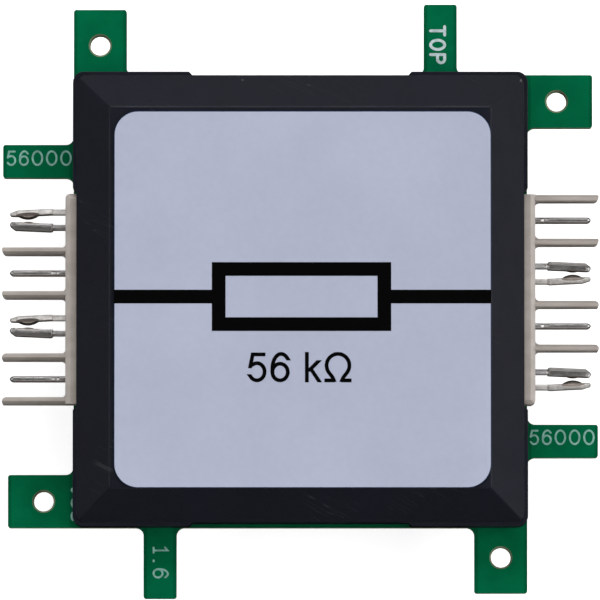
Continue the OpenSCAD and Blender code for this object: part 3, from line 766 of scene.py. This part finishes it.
def printed(name, outlines, low, high, material):
    """A thin raised print: one closed solid for each patch of outlines that join."""
    points, faces = [], []
    for outline in outlines:
        corners = [Vector(p) / MM for p in outline]
        if area_normal([p.to_3d() for p in corners]).z < 0:
            corners.reverse()
        faces.append(list(range(len(points), len(points) + len(corners))))
        points += corners
    flat, _, triangles, _, _, origins = delaunay_2d_cdt(points, [], faces, 0, 1e-6)
    kept = [t for t, origin in zip(triangles, origins) if origin]
    directed = {(t[i], t[(i + 1) % 3]) for t in kept for i in range(3)}
    bm = bmesh.new()
    used = sorted({i for t in kept for i in t})
    upper = {i: bm.verts.new((flat[i].x * MM, flat[i].y * MM, high)) for i in used}
    lower = {i: bm.verts.new((flat[i].x * MM, flat[i].y * MM, low)) for i in used}
    for t in kept:
        bm.faces.new([upper[i] for i in t])
        bm.faces.new([lower[i] for i in reversed(t)])
    for a, b in directed:
        if (b, a) not in directed:
            bm.faces.new((upper[b], upper[a], lower[a], lower[b]))
    new_piece(name, bm, [material])


def oval(half):
    """A round figure of the given half width, drawn as two arcs that overlap."""
    return 2 * half, [bow(half, 0.5, half, 0.5, 60, 300), bow(half, 0.5, half, 0.5, 240, 420)]


# Each figure is drawn in a box that is 1 high: its width, then its strokes
FIGURES = {
    "0": oval(0.35),
    "1": (0.40, [[(0.04, 0.80), (0.24, 1.0), (0.24, 0.0)], [(0.06, 0.0), (0.40, 0.0)]]),
    "5": (0.58, [[(0.54, 0.98), (0.13, 0.98), (0.04, 0.53)], bow(0.29, 0.325, 0.29, 0.325, 124, -150)]),
    "6": (0.58, [
        bow(0.29, 0.315, 0.29, 0.315, 0, 200),
        bow(0.29, 0.315, 0.29, 0.315, 180, 380),
        bow(0.33, 0.45, 0.33, 0.55, 190, 43),
    ]),
    ".": (0.16, [[(0.04, 0.0), (0.12, 0.0)]]),
    "k": (0.51, [[(0.0, 1.0), (0.0, 0.0)], [(0.40, 0.69), (0.11, 0.40)], [(0.20, 0.36), (0.44, 0.0)]]),
    "Ω": (0.88, [
        [(0.0, 0.0), (0.26, 0.0)],
        [(0.28, 0.02), (0.235, 0.12), *bow(0.44, 0.5625, 0.43, 0.4375, 222, 80)],
        [(0.88, 0.0), (0.62, 0.0)],
        [(0.60, 0.02), (0.645, 0.12), *bow(0.44, 0.5625, 0.43, 0.4375, -42, 100)],
    ]),
    "T": (0.60, [[(0.0, 1.0), (0.60, 1.0)], [(0.30, 1.0), (0.30, 0.0)]]),
    "O": oval(0.33),
    "P": (0.58, [
        [(0.0, 0.0), (0.0, 1.0)],
        [(0.0, 1.0), (0.32, 1.0), *bow(0.32, 0.745, 0.26, 0.255, 80, -80, 10), (0.32, 0.49), (0.0, 0.49)],
    ]),
}


def text_strokes(text, width, height, stroke, round_ends=True):
    """Outlines of a line of figures that fills the width, centred on the origin, with even gaps."""
    reach = height - stroke
    widths = [FIGURES[c][0] * reach + stroke for c in text]
    gap = (width - sum(widths)) / max(1, len(text) - 1)
    left, base = -width / 2, -height / 2
    outlines = []
    for figure, own in zip(text, widths):
        for line in FIGURES[figure][1]:
            points = [(left + stroke / 2 + x * reach, base + stroke / 2 + y * reach) for x, y in line]
            outlines.append(stroke_outline(points, stroke, round_ends))
        left += own + gap
    return outlines


def moved(outlines, x, y, quarter_turns=0):
    """Outlines turned clockwise by quarter turns, then moved to (x, y)."""
    found = []
    for outline in outlines:
        points = [Vector(p) for p in outline]
        for _ in range(quarter_turns):
            points = [Vector((p.y, -p.x)) for p in points]
        found.append([p + Vector((x, y)) for p in points])
    return found


def board_areas():
    """Middle and half size of the board's core and of each tab, which overlaps its ends."""
    found = [((0.0, 0.0), (CORE_HALF, CORE_HALF))]
    for at, width, reach in BOARD_TABS:
        along, across = at, CORE_HALF + reach / 2
        half_along, half_across = width / 2, reach / 2
        for _ in range(4):
            found.append(((along, across), (half_along, half_across + TAB_OVERLAP)))
            along, across = across, -along
            half_along, half_across = half_across, half_along
    return found


# Contacts

class Contact:
    """Where a contact lies in the plain CAD model, and the rings that its skin goes through."""

    def __init__(self, node, settings):
        low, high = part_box(node)
        self.side = 1 if low.x > 0 else -1
        self.row = (low.y + high.y) / 2
        self.foot, self.tip = sorted((abs(low.x), abs(high.x)))
        self.floor = low.z
        self.low = high.z - settings.height
        self.half_height = settings.height / 2
        self.middle = high.z - self.half_height
        self.front = HOUSING_HIGH.x - settings.fin_length
        self.back = HOUSING_LOW.x
        self.tail_half = settings.tail / 2

    def ring(self, out, height, corners, rise=0.0):
        """A ring round corners (across, up, radius), square to a way outward that rises by an angle."""
        return [
            (self.side * (out - up * sin(rise)), self.row + self.side * across, height + up * cos(rise))
            for across, up in rounded(corners)
        ]

    def tail_rings(self, half_width):
        """Rings of a strip that lies on the copper, climbs behind the housing and turns outward."""
        half = self.tail_half
        middle = self.back - TAIL_GAP - half
        turning = strip(-half_width, half_width, half * sqrt(2))
        return [
            self.ring(self.foot, self.floor + half, strip(-half_width, half_width, half)),
            self.ring(middle, self.floor + half, turning, pi / 4),
            self.ring(middle, self.low + half, turning, pi / 4),
        ]


def strip(low, high, half):
    """Corners of a flat strip between two distances across."""
    places = ((low, -half), (high, -half), (high, half), (low, half))
    return [(across, up, STRIP_EDGE) for across, up in places]


def blade_piece(node, settings, tin):
    """A blade: a strip with broken edges, a coined dent near the housing and a pointed tip."""
    contact = Contact(node, settings)
    half = settings.blade / 2
    radius = settings.tip_radius
    tip = contact.tip
    arch = tip - sqrt(radius ** 2 - (radius - half) ** 2)
    dent_at = contact.front + DENT_PLACE

    def ring(out):
        width = half
        if out > arch:
            width = max(BLADE_POINT, sqrt(max(0.0, radius ** 2 - (out - arch) ** 2)) - (radius - half))
        cut = min(settings.chamfer, width * 0.6)
        closing = max(0.0, (out - arch) / (tip - arch)) ** 2
        reach = contact.half_height * (1 - BLADE_LOWERING * closing)
        dent = settings.dent_depth * max(0.0, 1 - abs(out - dent_at) / DENT_REACH)
        top = reach - dent - (COINED_STEP if out < dent_at else 0.0)
        places = [
            (-width + cut, -reach), (width - cut, -reach), (width, -reach + cut), (width, top - cut),
            (width - cut, top), (-width + cut, top), (-width, top - cut), (-width, -reach + cut),
        ]
        return contact.ring(out, contact.middle, [(across, up, BLADE_EDGE) for across, up in places])

    stations = [contact.back - TAIL_GAP, contact.front - 0.2 * MM, contact.front]
    stations += [dent_at + DENT_REACH * step / 6 for step in range(-6, 7)]
    stations += [arch - 1.0 * MM, arch - 0.3 * MM]
    stations += [arch + (tip - arch) * sin(pi / 2 * step / 8) for step in range(9)]
    bm = bmesh.new()
    skin(bm, [ring(out) for out in stations])
    skin(bm, contact.tail_rings(half))
    new_piece(f"formed_{node}", bm, [tin], [node])


class Tine(NamedTuple):
    """Sizes of one tine in metres, the hand of the fork that it stands on, and its slope's material.

    Its top has a flat next to the inner face, then a groove, then a slope that falls to the outer face.
    The undercut takes back the inner side's upper edge, most of all over the bulge.
    """

    hand: int
    width: float
    step: float
    nose_length: float
    nose_radius: float
    nose_height: float
    flat: float
    fall: float
    groove: float
    undercut: float
    slope_material: int


def between(table, at):
    """Values at a place in a table of (place, value, value ...), along straight lines."""
    for near, far in zip(table, table[1:]):
        if at <= far[0]:
            t = (at - near[0]) / (far[0] - near[0])
            return [a + (b - a) * t for a, b in zip(near[1:], far[1:])]
    return list(table[-1][1:])


def tine_profile(contact, settings, tine):
    """Rows of place, inner face, outer face and half height, from the housing to the tip."""
    outer = settings.fork_half
    inner = outer - tine.width
    neck_out = outer - tine.step
    neck_in = neck_out - settings.sheet
    nose = inner - settings.closing
    closed = outer - settings.closing
    neck = contact.front + settings.neck
    full = contact.half_height
    slim = full - 0.05 * MM
    rows = [
        (contact.back + FORK_START, neck_in, neck_out, slim),
        (neck - 0.10 * MM, neck_in, neck_out, slim),
        (neck - 0.02 * MM, neck_in, neck_out, slim - 0.04 * MM),
        (neck + 0.02 * MM, inner, (neck_out + outer) / 2, slim),
        (neck + 0.09 * MM, inner, outer - 0.02 * MM, full - 0.01 * MM),
        (neck + 0.17 * MM, inner, outer, full),
    ]
    radius = tine.nose_radius
    round_end = radius * (1 - sin(pi / 4))
    knob = nose + radius * (1 + sin(pi / 4))
    backs = [tine.nose_length * part for part in (1.0, 0.8, 0.6, 0.45, 0.3)]
    backs = [back for back in backs if back > radius]
    backs += [radius * part for part in (0.9, 0.7, 0.5, 0.3, 0.15, 0.05, 0.01)]
    for back in backs:
        half = radius
        if back < radius:
            half = sqrt(radius ** 2 - (radius - back) ** 2)
        far = nose + radius + half
        if back > round_end:
            far = knob + (closed - knob) * (back - round_end) / (tine.nose_length - round_end)
        lowering = (1 - back / tine.nose_length) ** 0.7
        end_round = NOSE_EDGE * max(0.0, 1 - back / radius) ** 3
        reach = full - (full - tine.nose_height) * lowering - end_round
        rows.append((contact.tip - back, nose + radius - half, far, reach))
    return rows


def tine_skin(bm, contact, settings, tine):
    """Skins one tine: a flat and a slope on top, a bulge towards the other one and an inner side darkened
    with painted shade.
    """
    bulge_at = contact.tip - settings.bulge_back
    radius = settings.bulge_radius
    profile = tine_profile(contact, settings, tine)

    def bulged(out, up, face):
        left_over = radius ** 2 - (out - bulge_at) ** 2 - up ** 2
        if left_over <= 0:
            return face
        return min(face, settings.bulge_gap / 2 + radius - sqrt(left_over))

    stations = sorted(
        {row[0] for row in profile}
        | {bulge_at + BULGE_HALF * step / BULGE_STEPS for step in range(-BULGE_STEPS, BULGE_STEPS + 1)}
        | {contact.tip - 0.25 * MM * step for step in range(1, 13)}
    )
    rings = []
    for out in stations:
        face, outer, reach = between(profile, out)
        width = outer - face
        swell = sqrt(max(0.0, 1 - ((out - bulge_at) / BULGE_HALF) ** 2))
        cut = min(tine.undercut * (0.25 + 0.75 * swell), width * 0.6)
        level = min(max(tine.flat, cut + 0.05 * MM), width * 0.7)
        drop = min(tine.fall, width * 0.5)
        lip = min(LIP, width * 0.06)
        edge = min(OUTER_EDGE, width * 0.2)
        corners = [
            (face, -reach, min(INNER_EDGE, width * 0.2)),
            *((bulged(out, reach * up, face), reach * up, 0) for up in BULGE_LEVELS),
            (face, reach - cut * 0.6, 0),
            (face + cut, reach, 0),
            (face + level - lip, reach, 0),
            (face + level, reach - min(tine.groove, drop), 0),
            (face + level + lip, reach - drop * 0.1, 0),
            (outer, reach - drop, edge),
            (outer, -reach + drop, edge),
            (face + level, -reach, 0),
        ]
        corners = [(tine.hand * across, up, rounding) for across, up, rounding in corners]
        rings.append(contact.ring(out, contact.middle, corners))
    first = len(bm.faces)
    skin(bm, rings)
    bm.faces.ensure_lookup_table()
    around = len(rings[0])
    inner_side = len(BULGE_LEVELS) + 5
    neck_end = sum(out < profile[3][0] for out in stations)
    for ring in range(neck_end, len(rings) - 1):
        start = first + ring * around
        # The inner side's faces take the second material, darkened as painted shade between the tines.
        for face in bm.faces[start:start + inner_side]:
            face.material_index = 1
        # The slope's faces take the tine's slope material: painted shade on the wide tine, painted sheen
        # on the narrow one.
        for face in bm.faces[start + inner_side + 3:start + inner_side + 7]:
            face.material_index = tine.slope_material


def fork_pieces(node, settings, rolled, sheen_tin, dull_and_shaded, slope):
    """A fork: a wide tine on a strip that ends in a foot, and a narrow tine."""
    contact = Contact(node, settings)
    wide = Tine(
        hand=1, width=settings.wide_tine, step=settings.wide_step, nose_length=settings.wide_nose,
        nose_radius=settings.wide_nose_radius, nose_height=0.68 * MM, flat=0.34 * MM, fall=0.05 * MM,
        groove=0.03 * MM, undercut=0.09 * MM, slope_material=2,
    )
    narrow = Tine(
        hand=-1, width=settings.narrow_tine, step=settings.narrow_step, nose_length=settings.narrow_nose,
        nose_radius=settings.narrow_nose_radius, nose_height=0.55 * MM, flat=0.12 * MM, fall=0.14 * MM,
        groove=0.0, undercut=0.24 * MM, slope_material=0,
    )
    half = contact.tail_half
    tail = (-settings.tail_width / 2, settings.tail_width / 2)
    bridge = (settings.narrow_step - settings.fork_half, settings.fork_half - settings.wide_step)
    start = contact.back + FORK_START
    widths = [
        (contact.back, *tail),
        (start - 0.05 * MM, *tail),
        (start + 0.05 * MM, *bridge),
        (contact.front - 0.5 * MM, *bridge),
    ]
    rings = contact.tail_rings(settings.tail_width / 2)
    rings += [contact.ring(out, contact.low + half, strip(near, far, half)) for out, near, far in widths]
    bm = bmesh.new()
    tine_skin(bm, contact, settings, wide)
    skin(bm, rings)
    new_piece(f"formed_{node}", bm, [rolled, dull_and_shaded, slope], [node])
    bm = bmesh.new()
    tine_skin(bm, contact, settings, narrow)
    new_piece(f"narrow_tine_of_{node}", bm, [sheen_tin, dull_and_shaded])


# Operators

def nodes_with(slot):
    """Names of the CAD nodes whose record gives them this material slot."""
    return [part["node"] for part in frame["record"]["subparts"] if part["material_slot"] == slot]


def dress(slot, material):
    """Puts a material on each CAD node of a slot."""
    for name in nodes_with(slot):
        for held in frame["nodes"][name].material_slots:
            held.material = material


class MODULE_OT_casing(bpy.types.Operator):
    """Give both casing halves their black moulded finish"""

    bl_idname = "module.finish_casing"
    bl_label = "Finish casing"

    def execute(self, context):
        dress("casing", casing_plastic(context.scene.module_casing))
        return {"FINISHED"}


class MODULE_OT_label(bpy.types.Operator):
    """Build the label film with its resistor symbol and value"""

    bl_idname = "module.build_label"
    bl_label = "Build label"

    def execute(self, context):
        settings = context.scene.module_label
        film_top = LABEL_HIGH.z - settings.ink_height
        edge = settings.edge_round
        inset = Vector((edge, edge, 0.0))
        whole = rounded_rectangle(LABEL_LOW, LABEL_HIGH, settings.corner_radius)
        smaller = rounded_rectangle(LABEL_LOW + inset, LABEL_HIGH - inset, settings.corner_radius - edge)
        bm = bmesh.new()
        skin(bm, [
            [(x, y, LABEL_LOW.z) for x, y in whole],
            [(x, y, film_top - edge) for x, y in whole],
            [(x, y, film_top) for x, y in smaller],
        ])
        new_piece("label_film", bm, [label_film(settings)], ["label"])
        middle = (LABEL_LOW + LABEL_HIGH) / 2
        ink = printed_ink("Label ink", settings.ink, 0.6, 0.25)
        x = middle.x + settings.symbol_shift[0]
        y = middle.y + settings.symbol_shift[1]
        left, right = x - settings.symbol_width / 2, x + settings.symbol_width / 2
        low, high = y - settings.symbol_height / 2, y + settings.symbol_height / 2
        line = settings.line_width
        bars = [
            (LABEL_LOW.x, y - line / 2, left + line / 2, y + line / 2),
            (right - line / 2, y - line / 2, LABEL_HIGH.x, y + line / 2),
            (left, low, left + line, high),
            (right - line, low, right, high),
            (left, low, right, low + line),
            (left, high - line, right, high),
        ]
        outlines = [[(a, b), (c, b), (c, d), (a, d)] for a, b, c, d in bars]
        printed("resistor_symbol", outlines, film_top, LABEL_HIGH.z, ink)
        outlines = []
        for text, width, beside in VALUE_WORDS:
            word = text_strokes(text, width, settings.value_height, settings.value_stroke, False)
            outlines += moved(word, middle.x + beside, middle.y - settings.value_drop)
        printed("resistor_value", outlines, film_top, LABEL_HIGH.z, ink)
        return {"FINISHED"}


class MODULE_OT_board(bpy.types.Operator):
    """Give the circuit board its solder mask and print its tabs"""

    bl_idname = "module.finish_board"
    bl_label = "Finish board"

    def execute(self, context):
        settings = context.scene.module_board
        dress("board", solder_mask(settings))
        ink = printed_ink("Board print", settings.ink, 0.55, 0.35)
        bold_ink = printed_ink("Bold board print", settings.bold_ink, 0.55, 0.3)
        height, stroke, bold = settings.figure_height, settings.stroke, settings.bold_stroke
        # Text, width, height, stroke, middle, quarter turns and ink of each line of print
        lines = {
            "left_tab_print": (settings.tab_number, 4.95 * MM, height, stroke, LEFT_PRINT, 0, ink),
            "right_tab_print": (settings.tab_number, 4.95 * MM, height, stroke, RIGHT_PRINT, 0, ink),
            "top_tab_print": ("TOP", 2.96 * MM, 1.28 * MM, bold, TOP_PRINT, 1, bold_ink),
            "bottom_tab_print": (
                settings.turned_number, 2.45 * MM, 1.22 * MM, stroke, BOTTOM_PRINT, 1, ink
            ),
        }
        top = BOARD_TOP + settings.ink_height
        for name, (text, width, height, line, middle, turns, chosen) in lines.items():
            outlines = moved(text_strokes(text, width, height, line), *middle, turns)
            printed(name, outlines, BOARD_TOP, top, chosen)
        outlines = []
        for y, half in COVERED_BOWS:
            points = bow(-CORE_HALF, y, COVERED_WIDTH, half, 110, 250, 8)
            outlines.append(stroke_outline(points, stroke, False))
        printed("covered_tab_print", outlines, BOARD_TOP, top, ink)
        return {"FINISHED"}


class MODULE_OT_connectors(bpy.types.Operator):
    """Give both connector housings their beige moulded finish"""

    bl_idname = "module.finish_connectors"
    bl_label = "Finish connectors"

    def execute(self, context):
        dress("connector_plastic", moulded_nylon(context.scene.module_connector))
        return {"FINISHED"}


class MODULE_OT_contacts(bpy.types.Operator):
    """Build the formed blades and forks in place of the plain ones"""

    bl_idname = "module.build_contacts"
    bl_label = "Build contacts"

    def execute(self, context):
        settings = context.scene.module_contacts
        rolled = tin_plating("Rolled tin", settings.tin, settings.tarnish, 0.34)
        # The narrow tines' tin is lighter than the rolled tin: a painted sheen.
        sheen_tin = tin_plating("Blanked tin", settings.sheen_tin, settings.tarnish, 0.70, metallic=0.6)
        # The inner sides' tin is darker than the rolled tin: painted shade between the tines.
        dull_and_shaded = tin_plating("Dull inner side", settings.inner, settings.tarnish, 0.55)
        # The wide tines' outer slope is darker than the rolled tin: painted shade.
        slope = tin_plating("Outer slope", settings.slope, settings.tarnish, 0.45)
        for node in nodes_with("contact_metal"):
            if "blade" in node:
                blade_piece(node, settings, rolled)
            else:
                fork_pieces(node, settings, rolled, sheen_tin, dull_and_shaded, slope)
        return {"FINISHED"}


class MODULE_OT_circuit(bpy.types.Operator):
    """Give the copper, the solder and the chip resistor their finishes"""

    bl_idname = "module.finish_circuit"
    bl_label = "Finish circuit"

    def execute(self, context):
        settings = context.scene.module_circuit
        dress("copper", etched_copper(settings))
        dress("solder", bright_metal("Solder", settings.solder, 0.6 * MM, 0.16, 0.34))
        dress("terminal", bright_metal("End cap", settings.terminal, 0.25 * MM, 0.28, 0.45))
        dress("ceramic", fired_layer("Alumina", settings.ceramic, 0.65, 0.03 * MM))
        dress("film", fired_layer("Resistive film", settings.film, 0.55, 0.05 * MM))
        dress("overcoat", fired_layer("Glass overcoat", settings.overcoat, 0.20, 0.08 * MM))
        return {"FINISHED"}


def floor_surface(settings):
    """Pale, even floor with a barely visible unevenness."""
    made = Finish("Pale floor", Roughness=0.9, Emission_Color=rgba(settings.glow))
    made.drive("Emission Strength", made.tree.nodes.new("ShaderNodeLightPath").outputs["Is Camera Ray"])
    cloud = made.mottle(size=300 * MM, low=0.985, high=1.0)
    made.drive("Base Color", tinted(settings.floor, cloud))
    return made.material


def add_floor(settings):
    """A level sheet on which the module rests."""
    signs = ((-1, -1), (1, -1), (1, 1), (-1, 1))
    mesh = bpy.data.meshes.new("floor")
    mesh.from_pydata([(x * FLOOR_HALF, y * FLOOR_HALF, 0.0) for x, y in signs], [], [range(4)])
    mesh.materials.append(floor_surface(settings))
    floor = placed("floor", mesh)
    floor.visible_glossy = False


def add_softbox(name, azimuth, power):
    """A square softbox that faces the module from an azimuth in degrees."""
    light = bpy.data.lights.new(name, "AREA")
    light.shape = "SQUARE"
    light.size = SOFTBOX_SIZE
    light.energy = power
    lamp = placed(name, light)
    level, up = cos(SOFTBOX_ELEVATION), sin(SOFTBOX_ELEVATION)
    way = Vector((sin(radians(azimuth)) * level, cos(radians(azimuth)) * level, up))
    lamp.location = way * SOFTBOX_DISTANCE
    lamp.rotation_euler = way.to_track_quat("Z", "Y").to_euler()
    lamp.visible_camera = False


def add_sky(settings):
    """Light from all round, dimmer low down, with a plain pale backdrop for the camera."""
    world = bpy.data.worlds.new("Studio")
    world.use_nodes = True
    tree = world.node_tree
    tree.nodes.clear()
    way = tree.nodes.new("ShaderNodeTexCoord").outputs["Generated"]
    rise = add("ShaderNodeSeparateXYZ", {0: way}).outputs["Z"]
    above = ramp(rise, -0.05, 0.10)
    lean = vector_calc("DOT_PRODUCT", way, (0.28, 0.30, 0.0))["Value"]
    side = calc("ADD", lean, 0.42, clamp=True)
    hush = times(above, ramp(rise, 0.55, 0.92, 1.0, 0.4))
    sky = add("ShaderNodeBackground", {"Color": times(hush, side), "Strength": settings.sky})
    seen = add("ShaderNodeBackground", {"Color": rgba(settings.backdrop)}, tree)
    ray = tree.nodes.new("ShaderNodeLightPath").outputs["Is Camera Ray"]
    both = add("ShaderNodeMixShader", {0: ray, 1: sky.outputs[0], 2: seen.outputs[0]})
    add("ShaderNodeOutputWorld", {"Surface": both.outputs[0]})
    bpy.context.scene.world = world


def add_camera(settings):
    """A camera almost straight above, which frames the module as a catalogue view does."""
    data = bpy.data.cameras.new("Camera")
    data.lens = data.sensor_width * settings.distance / settings.frame_width
    data.clip_start = settings.distance / 100
    data.clip_end = settings.distance * 100
    camera = placed("Camera", data)
    back = Vector((0.0, -cos(settings.elevation), sin(settings.elevation)))
    camera.location = Vector((*settings.aim, BOARD_TOP)) + back * settings.distance
    camera.rotation_mode = "QUATERNION"
    camera.rotation_quaternion = (-back).to_track_quat("-Z", "Y")
    bpy.context.scene.camera = camera


class MODULE_OT_stage(bpy.types.Operator):
    """Set up the floor, the lights and the camera"""

    bl_idname = "module.set_stage"
    bl_label = "Set stage"

    def execute(self, context):
        settings = context.scene.module_stage
        add_floor(settings)
        add_sky(settings)
        for side, azimuth in SOFTBOXES.items():
            add_softbox(f"{side}_softbox", azimuth, getattr(settings, f"{side}_power"))
        add_camera(settings)
        context.scene.view_settings.view_transform = "Standard"
        return {"FINISHED"}


OPERATORS = [
    MODULE_OT_stage,
    MODULE_OT_casing,
    MODULE_OT_label,
    MODULE_OT_board,
    MODULE_OT_connectors,
    MODULE_OT_contacts,
    MODULE_OT_circuit,
]

SETTINGS = {
    "module_stage": StageSettings,
    "module_casing": CasingSettings,
    "module_label": LabelSettings,
    "module_board": BoardSettings,
    "module_connector": ConnectorSettings,
    "module_contacts": ContactSettings,
    "module_circuit": CircuitSettings,
}


class MODULE_PT_panel(bpy.types.Panel):
    """Steps that finish the module, and the sizes and colours that they use"""

    bl_idname = "MODULE_PT_panel"
    bl_label = "Resistor module"
    bl_space_type = "VIEW_3D"
    bl_region_type = "UI"
    bl_category = "Module"

    def draw(self, context):
        for operator, held in zip(OPERATORS, SETTINGS):
            box = self.layout.box()
            box.operator(operator.bl_idname)
            settings = getattr(context.scene, held)
            for name in settings.__annotations__:
                box.prop(settings, name)


CLASSES = [*SETTINGS.values(), *OPERATORS, MODULE_PT_panel]


def register():
    """Registers the settings, the operators and the panel."""
    for made in CLASSES:
        bpy.utils.register_class(made)
    for name, kind in SETTINGS.items():
        setattr(bpy.types.Scene, name, PointerProperty(type=kind))


def unregister():
    """Takes back what register() did."""
    for name in SETTINGS:
        delattr(bpy.types.Scene, name)
    for made in reversed(CLASSES):
        bpy.utils.unregister_class(made)


def main():
    """Builds the whole scene."""
    register()
    for operator in OPERATORS:
        group, name = operator.bl_idname.split(".")
        getattr(getattr(bpy.ops, group), name)()


if __name__ == "__main__":
    main()
